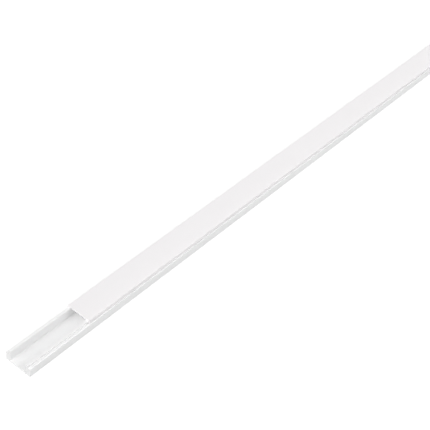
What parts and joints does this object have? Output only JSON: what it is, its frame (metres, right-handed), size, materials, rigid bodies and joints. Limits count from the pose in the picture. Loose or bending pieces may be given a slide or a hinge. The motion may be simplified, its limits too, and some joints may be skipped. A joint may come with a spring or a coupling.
{
  "type": "cord cover raceway",
  "caption": "White cable trunking: U-shaped base channel with stepped lips and a flat clip-on cover, drawn back from one end.",
  "frame": {"origin": "on the flat back, half way along base and cover together and midway across", "axes": "+X along the trunking from the end where the cover is drawn back, +Y across it, +Z out of the flat back towards the cover"},
  "size_m": [2.05, 0.02, 0.01],
  "materials": {
    "base_plastic": "white rigid PVC, satin extruded surface",
    "cover_plastic": "white rigid PVC, satin extruded surface"
  },
  "bodies": {
    "channel": {"base_channel": "base_plastic"},
    "cover": {"snap_cover": "cover_plastic"}
  },
  "joints": [
    {"name": "cover_slide", "type": "slide", "parent": "channel", "child": "cover", "axis": [1, 0, 0], "range_m": [-0.05, 0.45]}
  ]
}
